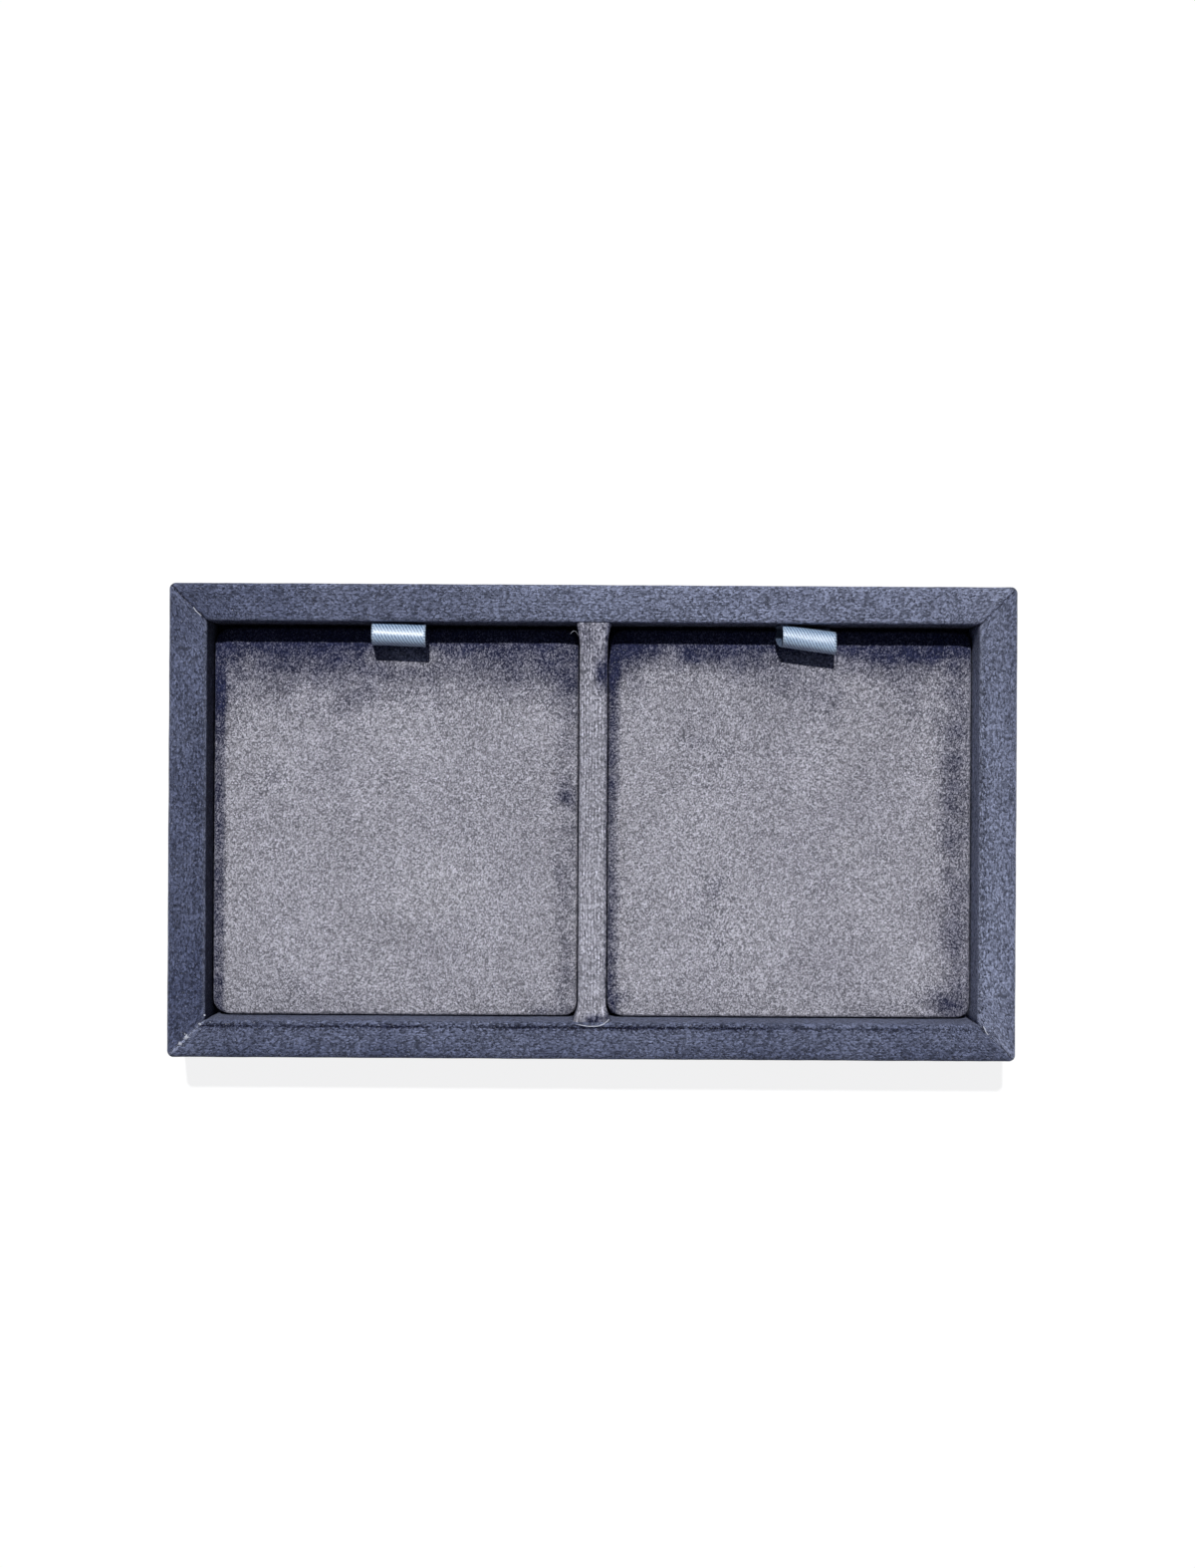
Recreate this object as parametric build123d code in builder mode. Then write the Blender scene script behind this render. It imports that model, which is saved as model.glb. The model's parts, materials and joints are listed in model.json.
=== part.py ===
from build123d import *
import math
import os

# Velvet jewelry tray with two wells. A pad lies in each well and lifts out by a ribbon tab.
# Millimetres. The origin is the middle of the underside, +X runs along the tray,
# +Y points to the rear, where the tabs are, and +Z points up.

# The outside of the covered tray
tray_length = 236.0
tray_depth = 132.0
tray_height = 24.0
corner_radius = 1.5

# The carcass under the cloth: mitred rails on a base board, and one divider
rail_width = 9.0
rail_edge_radius = 1.25
base_board_thickness = 3.0
divider_width = 6.0
divider_drop = 0.8

# The velvet, and how far it is turned in under the base and under a pad
cloth = 0.75
base_turn_in = 8.0
pad_turn_in = 10.0

# The lining on the underside, which covers the raw ends of the turned-in cloth
bottom_cloth = 0.75
bottom_inset = 2.5

# The lining on the floor of a well
floor_cloth = 0.75

# A pad, from the bottom up: backing card, turned-in cloth, board, crowned foam, cloth
backing_thickness = 0.4
backing_inset = 4.0
pad_board_thickness = 2.0
pad_foam_thickness = 4.0
pad_crown = 0.6
pad_edge_radius = 2.25
pad_corner_radius = 3.0
pad_edge_steps = 5
pad_foot_steps = 2
pad_corner_flats = 4
pad_crown_shares = (0.15, 0.4, 0.75)

# Room round a pad in its well. The ribbon comes up through the gap at the rear.
side_gap = 0.4
front_gap = 0.4
rear_gap = 1.2

# Ribbon tabs. A tab is one strip folded into a loop, with both ends glued under the pad.
ribbon_width = 15.0
ribbon_thickness = 0.3
ribbon_glued_length = 8.0
loop_radius = 3.5
loop_reach = 6.6
loop_wall_gap = 0.3
fold_radius = 0.4
fold_clearance = 0.1

# How far each tab stands to the right of the middle of its pad
left_tab_offset = 0.8
right_tab_offset = 3.8

# Angles in degrees by which the right end of each loop leans further forward than the left
left_tab_twist = 2.0
right_tab_twist = 10.0

# Flat-sided brads with T heads pin the mitres and the base board. Wood is left over each point.
brad_width = 1.25
brad_depth = 1.0
brad_head_width = 2.0
brad_head_thickness = 0.5
frame_brad_length = 20.0
brad_point_cover = 5.75
frame_brad_height_shares = (0.3, 0.7)
long_rail_brad_shares = (-0.38, -0.14, 0.14, 0.38)
short_rail_brad_shares = (-0.22, 0.22)
divider_brad_shares = (-0.3, 0.3)

# Room between a lining and the cloth that it is laid against
fit_gap = 0.1

# Heights, from the table up
base_bottom = bottom_cloth + cloth
base_top = base_bottom + base_board_thickness
floor_level = base_top + floor_cloth
rail_top = tray_height - cloth
divider_top = tray_height - divider_drop
pad_cloth_bottom = floor_level + backing_thickness
pad_board_bottom = pad_cloth_bottom + cloth
pad_board_top = pad_board_bottom + pad_board_thickness
pad_foam_top = pad_board_top + pad_foam_thickness
pad_top = pad_foam_top + cloth

# Plan sizes
covered_rail = rail_width + 2 * cloth
covered_divider = divider_width + 2 * cloth
inner_length = tray_length - 2 * covered_rail
inner_depth = tray_depth - 2 * covered_rail
well_length = (inner_length - covered_divider) / 2
well_centre = (covered_divider + well_length) / 2
pad_length = well_length - 2 * side_gap
pad_depth = inner_depth - front_gap - rear_gap
pad_middle = (front_gap - rear_gap) / 2
pad_rear = inner_depth / 2 - rear_gap

# The line about which a loop folds, and how far it leans forward with its back near the rail
fold_line_y = pad_rear + fold_radius
fold_line_z = pad_top
loop_lean = math.asin((fold_line_y - inner_depth / 2 + loop_wall_gap + loop_radius) / loop_reach)

# Each side of the frame: the middle of its outer face, the way in from there, and its length
rail_sides = {
    "front": (Vector(0, -tray_depth / 2), Vector(0, 1), tray_length),
    "rear": (Vector(0, tray_depth / 2), Vector(0, -1), tray_length),
    "left": (Vector(-tray_length / 2, 0), Vector(1, 0), tray_depth),
    "right": (Vector(tray_length / 2, 0), Vector(-1, 0), tray_depth),
}

# Each well: the place of its middle along the tray, and the offset and twist of its tab
wells = {
    "left": (-well_centre, left_tab_offset, left_tab_twist),
    "right": (well_centre, right_tab_offset, right_tab_twist),
}

os.makedirs("parts", exist_ok=True)


def save(builder, name):
    """Labels a finished piece and writes it."""
    builder.part.label = name
    export_step(builder.part, f"parts/{name}.step")


def block(left, right, low, high):
    """A rectangle in the sketch being drawn, between two sides and two heights."""
    with Locations(((left + right) / 2, (low + high) / 2)):
        Rectangle(right - left, high - low)


def section_plane(side):
    """The upright plane across the middle of a rail, with x going in and y going up."""
    face_middle, inward, length = rail_sides[side]
    return Plane(origin=face_middle, x_dir=inward, z_dir=inward.cross(Vector(0, 0, 1)))


def bar_section(plane, left, right, low, high, radius):
    """The section of a bar whose two top edges are rounded."""
    with BuildSketch(plane) as section:
        block(left, right, low, high)
        fillet(section.vertices().group_by(Axis.Y)[-1], radius)
    return section.sketch


def cloth_section(side):
    """The section of a rail's cloth before the rail is taken out: over the top and under the base."""
    with BuildSketch(section_plane(side)) as section:
        block(0, covered_rail, base_top, tray_height)
        block(0, cloth, bottom_cloth, base_top)
        block(0, cloth + base_turn_in, bottom_cloth, base_bottom)
        fillet(section.vertices().group_by(Axis.Y)[-1], rail_edge_radius + cloth)
        fillet(section.vertices().group_by(Axis.Y)[0].sort_by(Axis.X)[0], cloth)
    return section.sketch


def plan_outline(inset):
    """The tray's outline seen from above, taken in by the inset."""
    with BuildSketch() as outline:
        RectangleRounded(tray_length - 2 * inset, tray_depth - 2 * inset, corner_radius - inset)
    return outline.sketch


def mitre_planes(side):
    """The two upright planes at 45 degrees through the ends of a rail's outer edge."""
    face_middle, inward, length = rail_sides[side]
    along = inward.cross(Vector(0, 0, 1))
    return [
        Plane(origin=face_middle + along * (end * length / 2), z_dir=inward + along * end)
        for end in (-1, 1)
    ]


def pad_outline(x, inset, height, radius):
    """A pad's outline at a height, taken in by the inset."""
    with BuildSketch(Plane.XY.offset(height)) as outline:
        with Locations((x, pad_middle)):
            RectangleRounded(pad_length - 2 * inset, pad_depth - 2 * inset, radius)
    return outline.sketch


def pad_ring(x, inset, height, radius):
    """The points of a pad's outline at a height, with each round corner made of a few flats."""
    straight_x = pad_length / 2 - inset - radius
    straight_y = pad_depth / 2 - inset - radius
    ring = []
    for quarter, (end_x, end_y) in enumerate([(1, 1), (-1, 1), (-1, -1), (1, -1)]):
        for step in range(pad_corner_flats + 1):
            angle = math.pi / 2 * (quarter + step / pad_corner_flats)
            ring.append(Vector(
                x + end_x * straight_x + radius * math.cos(angle),
                pad_middle + end_y * straight_y + radius * math.sin(angle),
                height,
            ))
    return ring


def pad_form(x, depth, low, foot_radius):
    """A pad's form at a depth in its cloth, built of rings from the foot over the soft edge."""
    corner = pad_corner_radius + cloth
    soft_inset = pad_edge_radius + cloth
    soft_height = pad_top - pad_crown - soft_inset
    edge_radius = soft_inset - depth
    crown_reach = min(pad_length, pad_depth) / 2 - soft_inset
    rings = []
    for step in range(pad_foot_steps if foot_radius else 0):
        angle = math.pi / 2 * (1 - step / pad_foot_steps)
        inset = depth + foot_radius * (1 - math.cos(angle))
        height = low + foot_radius * (1 - math.sin(angle))
        rings.append(pad_ring(x, inset, height, corner - inset))
    rings.append(pad_ring(x, depth, low + foot_radius, corner - depth))
    for step in range(pad_edge_steps + 1):
        angle = math.pi / 2 * step / pad_edge_steps
        inset = soft_inset - edge_radius * math.cos(angle)
        height = soft_height + edge_radius * math.sin(angle)
        rings.append(pad_ring(x, inset, height, corner - inset))
    for share in pad_crown_shares:
        drop = pad_crown * (1 - share / pad_crown_shares[-1]) ** 2
        inset = soft_inset + share * crown_reach
        radius = corner - soft_inset + share * (1 - share) * crown_reach
        rings.append(pad_ring(x, inset, pad_top - depth - drop, radius))
    sides = [
        Face(Wire.make_polygon([lower[i - 1], lower[i], upper[i], upper[i - 1]]))
        for lower, upper in zip(rings, rings[1:])
        for i in range(len(lower))
    ]
    foot = Face(Wire.make_polygon(rings[0]))
    crown = Face(Wire.make_polygon(rings[-1]))
    return Solid(Shell([foot, *sides, crown]))


def forward(angle):
    """The direction at an angle forward from straight up, in the plane of a loop's end."""
    return Vector(-math.sin(angle), math.cos(angle))


def loop_end(x, lean, inset):
    """The outline of a loop seen from its end, inside a given depth of ribbon."""
    wrap = math.pi / 2 + math.asin((loop_radius - fold_radius) / loop_reach)
    bulge = forward(lean) * loop_reach
    bulge_radius = loop_radius - inset
    root_radius = fold_radius - inset
    top = bulge + forward(lean) * bulge_radius
    front = bulge + forward(lean + wrap) * bulge_radius
    back = bulge + forward(lean - wrap) * bulge_radius
    root_front = forward(lean + wrap) * root_radius
    root_back = forward(lean - wrap) * root_radius
    end_plane = Plane(origin=(x, fold_line_y, fold_line_z), x_dir=(0, 1, 0), z_dir=(1, 0, 0))
    with BuildSketch(end_plane) as end:
        with BuildLine():
            Line(root_front, front)
            ThreePointArc(front, bulge + forward(lean + wrap / 2) * bulge_radius, top)
            ThreePointArc(top, bulge + forward(lean - wrap / 2) * bulge_radius, back)
            Line(back, root_back)
            ThreePointArc(root_back, forward(lean + math.pi) * root_radius, root_front)
        make_face()
    return end.sketch


# Brads: two across each mitre from the ends of the tray, and a row up through the base board
rail_line_x = tray_length / 2 - cloth - rail_width / 2
rail_line_y = tray_depth / 2 - cloth - rail_width / 2
frame_brad_heights = [
    base_top + share * (rail_top - base_top) for share in frame_brad_height_shares
]
base_brad_places = (
    [(share * tray_length, end * rail_line_y) for share in long_rail_brad_shares for end in (-1, 1)]
    + [(end * rail_line_x, share * tray_depth) for share in short_rail_brad_shares for end in (-1, 1)]
    + [(0, share * inner_depth) for share in divider_brad_shares]
)


def drive_brads(plane, places, length):
    """Adds brads to the part being built, driven in from a plane with their heads flush."""
    for width, depth in ((brad_head_width, brad_head_thickness), (brad_width, length)):
        with BuildSketch(plane) as section:
            with Locations(places):
                Rectangle(width, brad_depth)
        extrude(section.sketch, amount=depth)


with BuildPart() as corner_brads:
    for end in (-1, 1):
        outer_end = end * (tray_length / 2 - cloth)
        drive_brads(
            Plane(origin=(outer_end, 0, 0), x_dir=(0, -end, 0), z_dir=(-end, 0, 0)),
            [(y, z) for y in (-rail_line_y, rail_line_y) for z in frame_brad_heights],
            frame_brad_length,
        )
save(corner_brads, "corner_brads")

with BuildPart() as base_brads:
    drive_brads(
        Plane.XY.offset(base_bottom), base_brad_places, rail_top - brad_point_cover - base_bottom
    )
save(base_brads, "base_brads")

# The base board lies under all four rails and the divider.
with BuildPart() as base_board:
    extrude(plan_outline(cloth), amount=base_top)
    split(bisect_by=Plane.XY.offset(base_bottom), keep=Keep.TOP)
    add(base_brads.part, mode=Mode.SUBTRACT)
save(base_board, "base_board")

for side in rail_sides:
    half_length = rail_sides[side][2] / 2
    core_section = bar_section(
        section_plane(side), cloth, cloth + rail_width, base_top, rail_top, rail_edge_radius
    )

    # The rail stands on the board. Its top edges are eased for the cloth.
    with BuildPart() as rail:
        extrude(core_section, amount=half_length, both=True)
        for mitre in mitre_planes(side):
            split(bisect_by=mitre, keep=Keep.BOTTOM)
        extrude(plan_outline(cloth), amount=tray_height, mode=Mode.INTERSECT)
        add(corner_brads.part, mode=Mode.SUBTRACT)
        add(base_brads.part, mode=Mode.SUBTRACT)
    save(rail, f"{side}_rail")

    # Its cloth goes up the inside, over the rim, down the outside and under the base board.
    with BuildPart() as rail_cover:
        extrude(cloth_section(side), amount=half_length, both=True)
        extrude(core_section, amount=half_length, both=True, mode=Mode.SUBTRACT)
        for mitre in mitre_planes(side):
            split(bisect_by=mitre, keep=Keep.BOTTOM)
        extrude(plan_outline(0), amount=tray_height, mode=Mode.INTERSECT)
    save(rail_cover, f"{side}_rail_cover")

# The divider stands between the wells. Its cloth is folded over its sides, top and ends.
divider_core_section = bar_section(
    Plane.XZ, -divider_width / 2, divider_width / 2, base_top, divider_top - cloth, rail_edge_radius
)
divider_cloth_section = bar_section(
    Plane.XZ, -covered_divider / 2, covered_divider / 2, base_top, divider_top,
    rail_edge_radius + cloth,
)
with BuildPart() as divider_core:
    extrude(divider_core_section, amount=inner_depth / 2 - cloth, both=True)
    add(base_brads.part, mode=Mode.SUBTRACT)
save(divider_core, "divider_core")

with BuildPart() as divider_cover:
    extrude(divider_cloth_section, amount=inner_depth / 2, both=True)
    extrude(divider_core_section, amount=inner_depth / 2 - cloth, both=True, mode=Mode.SUBTRACT)
save(divider_cover, "divider_cover")

# The lining of the underside steps up inside the turned-in cloth and lies on the base board.
step_inset = cloth + base_turn_in + fit_gap
with BuildPart() as bottom_cover:
    with BuildSketch():
        Rectangle(tray_length - 2 * bottom_inset, tray_depth - 2 * bottom_inset)
    extrude(amount=bottom_cloth)
    with BuildSketch():
        Rectangle(tray_length - 2 * step_inset, tray_depth - 2 * step_inset)
    extrude(amount=base_bottom)
    with BuildSketch():
        hollow_inset = step_inset + bottom_cloth
        Rectangle(tray_length - 2 * hollow_inset, tray_depth - 2 * hollow_inset)
    extrude(amount=base_bottom - bottom_cloth, mode=Mode.SUBTRACT)
save(bottom_cover, "bottom_cover")

for side in wells:
    x, tab_offset, tab_twist = wells[side]
    tab_x = x + tab_offset

    with BuildPart() as floor_lining:
        with BuildSketch(Plane.XY.offset(base_top)):
            with Locations((x, 0)):
                Rectangle(well_length - 2 * fit_gap, inner_depth - 2 * fit_gap)
        extrude(amount=floor_cloth)
    save(floor_lining, f"{side}_floor_lining")

    # Inside its cloth, a pad is a board with a crowned sheet of foam on it.
    covered_form = pad_form(x, 0, pad_cloth_bottom, cloth)
    bare_form = pad_form(x, cloth, pad_board_bottom, 0)

    with BuildPart() as pad_board:
        add(bare_form)
        split(bisect_by=Plane.XY.offset(pad_board_top), keep=Keep.BOTTOM)
    save(pad_board, f"{side}_pad_board")

    with BuildPart() as pad_foam:
        add(bare_form)
        split(bisect_by=Plane.XY.offset(pad_board_top), keep=Keep.TOP)
    save(pad_foam, f"{side}_pad_foam")

    # The strip of ribbon under the pad and up its rear side, two layers thick
    with BuildPart() as tab_tail:
        with BuildSketch(Plane.YZ.offset(tab_x)) as strip:
            doubled = 2 * ribbon_thickness
            block(
                pad_rear - ribbon_glued_length, pad_rear + doubled,
                pad_cloth_bottom, pad_cloth_bottom + doubled,
            )
            block(
                pad_rear, pad_rear + doubled,
                pad_cloth_bottom, fold_line_z - fold_radius - fold_clearance,
            )
            fillet(strip.vertices().group_by(Axis.Y)[0].sort_by(Axis.X)[-1], ribbon_thickness)
        extrude(amount=ribbon_width / 2, both=True)
    save(tab_tail, f"{side}_tab_tail")

    # The cloth is drawn over foam and board, turned in underneath, and cut out for the ribbon.
    with BuildPart() as pad_cover:
        add(covered_form)
        add(bare_form, mode=Mode.SUBTRACT)
        extrude(
            pad_outline(x, pad_turn_in, pad_cloth_bottom, pad_corner_radius),
            amount=cloth, mode=Mode.SUBTRACT,
        )
        with BuildSketch(Plane.XY.offset(pad_cloth_bottom)):
            with Locations((tab_x, pad_rear)):
                Rectangle(ribbon_width + 2 * fit_gap, 2 * (ribbon_glued_length + fit_gap))
        extrude(amount=2 * ribbon_thickness, mode=Mode.SUBTRACT)
    save(pad_cover, f"{side}_pad_cover")

    # The backing card steps up inside the turned-in cloth and lies on the board.
    with BuildPart() as pad_backing:
        step_radius = pad_corner_radius + cloth
        extrude(
            pad_outline(x, backing_inset, floor_level, step_radius), amount=backing_thickness
        )
        extrude(
            pad_outline(x, pad_turn_in + fit_gap, floor_level, pad_corner_radius),
            amount=backing_thickness + cloth,
        )
        extrude(
            pad_outline(
                x, pad_turn_in + fit_gap + backing_thickness, floor_level,
                pad_corner_radius - backing_thickness,
            ),
            amount=cloth, mode=Mode.SUBTRACT,
        )
    save(pad_backing, f"{side}_pad_backing")

    # The free loop of the ribbon, open at both ends, which a finger goes through
    left_end = tab_x - ribbon_width / 2
    right_end = tab_x + ribbon_width / 2
    right_lean = loop_lean + math.radians(tab_twist)
    with BuildPart() as tab_loop:
        loft([loop_end(left_end, loop_lean, 0), loop_end(right_end, right_lean, 0)], ruled=True)
        loft(
            [
                loop_end(left_end, loop_lean, ribbon_thickness),
                loop_end(right_end, right_lean, ribbon_thickness),
            ],
            ruled=True, mode=Mode.SUBTRACT,
        )
    save(tab_loop, f"{side}_tab_loop")
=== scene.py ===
import json
import math
import random

import bmesh
import bpy
from mathutils import Matrix, Vector, noise
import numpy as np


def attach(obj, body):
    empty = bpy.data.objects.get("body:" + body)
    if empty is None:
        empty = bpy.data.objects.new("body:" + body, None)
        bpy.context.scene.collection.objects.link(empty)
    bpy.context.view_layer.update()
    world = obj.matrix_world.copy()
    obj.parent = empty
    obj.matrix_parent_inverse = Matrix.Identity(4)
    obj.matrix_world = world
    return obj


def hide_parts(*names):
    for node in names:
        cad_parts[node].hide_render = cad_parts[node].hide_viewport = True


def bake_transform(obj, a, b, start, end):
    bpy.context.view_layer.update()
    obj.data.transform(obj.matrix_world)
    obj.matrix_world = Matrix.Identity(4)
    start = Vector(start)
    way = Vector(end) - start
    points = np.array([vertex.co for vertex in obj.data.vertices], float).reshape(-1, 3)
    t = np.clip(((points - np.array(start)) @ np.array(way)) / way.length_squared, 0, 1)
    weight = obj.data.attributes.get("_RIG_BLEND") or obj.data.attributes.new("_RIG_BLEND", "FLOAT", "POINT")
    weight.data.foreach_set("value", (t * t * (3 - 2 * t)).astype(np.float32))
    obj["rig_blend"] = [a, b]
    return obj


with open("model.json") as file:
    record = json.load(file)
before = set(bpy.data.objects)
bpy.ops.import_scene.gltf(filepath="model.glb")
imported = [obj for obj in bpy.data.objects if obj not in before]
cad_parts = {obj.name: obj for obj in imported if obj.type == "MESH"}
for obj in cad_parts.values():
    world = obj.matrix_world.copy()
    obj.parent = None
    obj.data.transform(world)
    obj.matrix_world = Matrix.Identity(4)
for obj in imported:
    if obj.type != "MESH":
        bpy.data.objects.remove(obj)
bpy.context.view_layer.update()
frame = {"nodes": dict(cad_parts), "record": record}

# Velvet jewelry tray with two padded wells. Metres, +X to the right, +Y to the rear, +Z up.

# The covered tray, as in the part's source
tray_length = 0.236
tray_depth = 0.132
tray_height = 0.024
plan_corner = 0.0018
covered_rail = 0.0105
cloth = 0.00075
outer_bend = 0.002
inner_bends = {"front": 0.0014, "rear": 0.0009, "left": 0.0014, "right": 0.0018}
rail_foot = 0.0045
turn_in_reach = 0.00875
turn_in_level = 0.00075
inner_depth = 0.111

# The divider
divider_half = 0.00375
divider_top = 0.0232
divider_bend = 0.0011

# The pads
pad_length = 0.10295
pad_depth = 0.1094
pad_middle_y = -0.0004
pad_centres = {"left": -0.055625, "right": 0.055625}
pad_edge_top = 0.01255
pad_foot = 0.00565
pad_board_top = 0.0084
pad_corner = 0.003
pad_corner_eases = {"left": 0.002, "right": 0.0007}
pad_soft_edge = 0.0011
pad_foot_bend = 0.00075
pad_turn_in = 0.01
pad_crown = 0.0006
pad_left_stretches = {"left": 0.0003, "right": 0.0}

# The ribbons, and the line where each leaves its pad and folds
ribbon_width = 0.015
ribbon_thickness = 0.0003
ribbon_glued_end = 0.0463
ribbon_inner_layer = 0.05445
ribbon_outer_layer = 0.05475
ribbon_upper_layer = 0.0061
ribbon_lower_layer = 0.0058
fold_y = 0.0547
fold_z = 0.01315
loop_reach = 0.0074
loop_radius = 0.0031
root_radius = 0.00025
ribbon_neck = 0.0007
loop_lean = math.radians(19.7)
tab_centres = {"left": -0.054825, "right": 0.059425}
tab_twists = {"left": math.radians(2), "right": math.radians(14)}

# How square each loop's bend is, as a power, 2 being round, and how far back its flat crest is turned
crest_power = 2.5
crest_tilt = math.radians(28)

# How far the lower part and the crest of each loop are shifted along the tray, and how far the
# right end of its crest is drawn forward
loop_shifts = {"left": (0.0, 0.0006), "right": (-0.0007, 0.0008)}
crest_skews = {"left": 0.0004, "right": 0.0005}

# The linings
floor_low, floor_high = 0.0045, 0.00525
well_length = 0.10375
lining_tuck = 0.00015
felt_length, felt_depth, felt_thickness = 0.231, 0.127, 0.00075
felt_step_inset, felt_step_width = 0.00635, 0.0015


def smooth_step(low, high, value):
    """0 below the low value, 1 above the high one, and an easy slope between them."""
    share = min(max((value - low) / (high - low), 0), 1)
    return share * share * (3 - 2 * share)


def bell(distance, width):
    """1 at no distance, falling away over the width."""
    return math.exp(-((distance / width) ** 2))


def ripple(point, size, seed=0.0):
    """A smooth value from -1 to 1 that changes over about the given size."""
    return noise.noise(Vector(point) / size + Vector((seed, seed * 1.7, seed * 0.6)))


# Materials

def colour(hex_code):
    """A linear colour from an sRGB hex value."""
    parts = [int(hex_code[i:i + 2], 16) / 255 for i in (1, 3, 5)]
    linear = [c / 12.92 if c <= 0.04045 else ((c + 0.055) / 1.055) ** 2.4 for c in parts]
    return (*linear, 1)


def add_node(tree, kind, settings=None, inputs=None):
    """Adds a node. An input is a value, or a socket that is linked to it."""
    node = tree.nodes.new(kind)
    for name, value in (settings or {}).items():
        setattr(node, name, value)
    for key, value in (inputs or {}).items():
        if isinstance(value, bpy.types.NodeSocket):
            tree.links.new(value, node.inputs[key])
        else:
            node.inputs[key].default_value = value
    return node


def new_material(name):
    """A material with an empty tree and its output."""
    material = bpy.data.materials.new(name)
    material.use_nodes = True
    tree = material.node_tree
    tree.nodes.clear()
    output = add_node(tree, "ShaderNodeOutputMaterial")
    return material, tree, output


def math_node(tree, operation, first, second=0.0):
    """One sum, as a socket."""
    inputs = {0: first, 1: second}
    return add_node(tree, "ShaderNodeMath", {"operation": operation}, inputs).outputs[0]


def plus(tree, first, second):
    """Two values added."""
    return math_node(tree, "ADD", first, second)


def times(tree, first, second):
    """Two values multiplied."""
    return math_node(tree, "MULTIPLY", first, second)


def noise_value(tree, coordinates, size, detail=2.0, roughness=0.5, distortion=0.0):
    """Noise whose patches are about the given size in metres."""
    inputs = {"Vector": coordinates, "Scale": 1 / size, "Detail": detail,
              "Roughness": roughness, "Distortion": distortion}
    return add_node(tree, "ShaderNodeTexNoise", None, inputs).outputs["Fac"]


def spread(tree, value, low, high, to_low, to_high):
    """Stretches a value from one range to another, held at its ends."""
    inputs = {"Value": value, "From Min": low, "From Max": high, "To Min": to_low, "To Max": to_high}
    return add_node(tree, "ShaderNodeMapRange", None, inputs).outputs[0]


def mix_colours(tree, share, first, second):
    """Two colours mixed by a share."""
    inputs = {0: share, 6: first, 7: second}
    return add_node(tree, "ShaderNodeMix", {"data_type": "RGBA"}, inputs).outputs[2]


def tone(tree, paint, factor):
    """A colour made lighter or darker by a factor."""
    inputs = {0: paint, 3: factor}
    return add_node(tree, "ShaderNodeVectorMath", {"operation": "SCALE"}, inputs).outputs[0]


def object_place(tree):
    """The shaded point in its piece's own coordinates."""
    return add_node(tree, "ShaderNodeTexCoord").outputs["Object"]


def attribute(tree, name, output="Fac"):
    """A value or vector that the piece's mesh carries."""
    return add_node(tree, "ShaderNodeAttribute", {"attribute_name": name}).outputs[output]


def coordinate(tree, vector, axis):
    """One coordinate of a vector."""
    return add_node(tree, "ShaderNodeSeparateXYZ", None, {0: vector}).outputs[axis]


def waves(tree, distance, pitch, wander=0.0):
    """Waves from -1 to 1 over a distance, a pitch apart, that wander by some radians."""
    turns = times(tree, distance, 2 * math.pi / pitch)
    return math_node(tree, "SINE", plus(tree, turns, wander))


def finish_shader(tree, output, paint, height, depth, values):
    """A principled surface with a bump of the given depth in metres."""
    bump = add_node(tree, "ShaderNodeBump", None,
                    {"Strength": 1.0, "Distance": depth, "Height": height})
    surface = add_node(tree, "ShaderNodeBsdfPrincipled", None,
                       {"Base Color": paint, "Normal": bump.outputs[0], **values})
    tree.links.new(surface.outputs[0], output.inputs["Surface"])


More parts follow.
